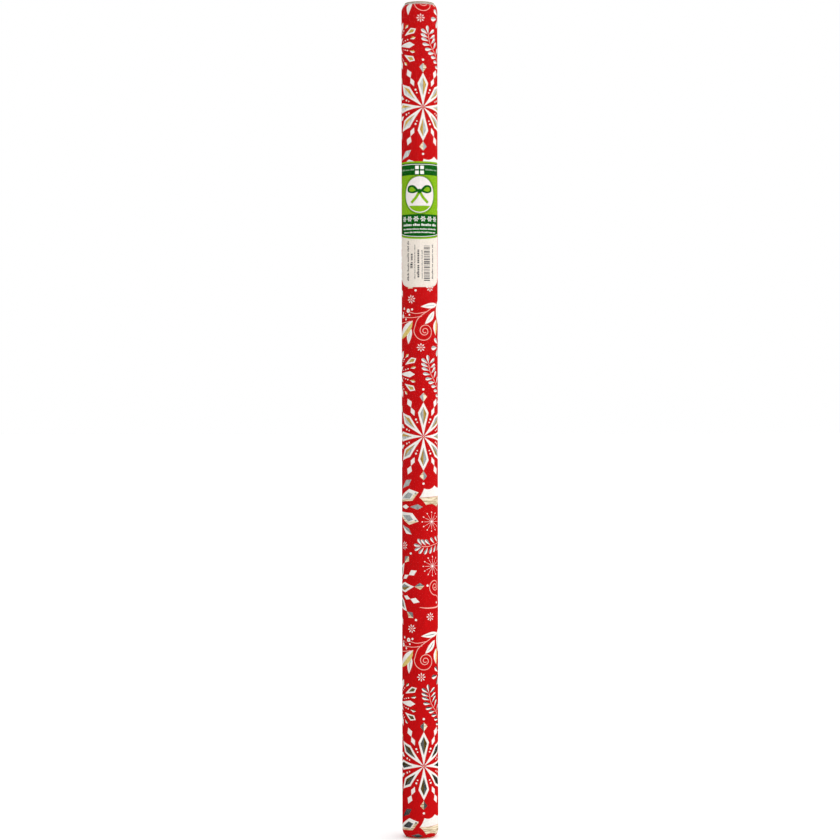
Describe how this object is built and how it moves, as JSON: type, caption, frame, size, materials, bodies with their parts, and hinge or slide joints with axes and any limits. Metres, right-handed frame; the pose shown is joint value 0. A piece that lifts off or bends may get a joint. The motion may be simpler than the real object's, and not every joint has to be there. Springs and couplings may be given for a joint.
{
  "type": "gift wrap roll",
  "caption": "Long slender roll of festive foil gift wrap on a hollow kraft core, with a paper label on the front under clear shrink film.",
  "frame": {"origin": "centre of the lower end, on the surface that the roll stands on", "axes": "+Z along the roll's axis towards the label's end, -Y towards the label, +X to the right as the label is read"},
  "size_m": [0.0332, 0.0332, 0.762],
  "materials": {
    "kraft_inner": "matt kraft board with a spiral butt seam",
    "kraft_outer": "matt kraft board with a spiral butt seam",
    "paper_back": "white uncoated back of the sheet, seen edge-on at the ends",
    "paper_print": "glossy red print with white ink and hot-stamped silver and gold foil",
    "label_paper": "coated label paper, printed in greens and off-white",
    "clear_film": "clear glossy shrink film"
  },
  "bodies": {
    "root": {"core_inner_ply": "kraft_inner", "core_outer_ply": "kraft_outer", "paper_wound_turns": "paper_back", "paper_outer_turn": "paper_print", "label": "label_paper", "shrink_film": "clear_film"}
  },
  "joints": []
}
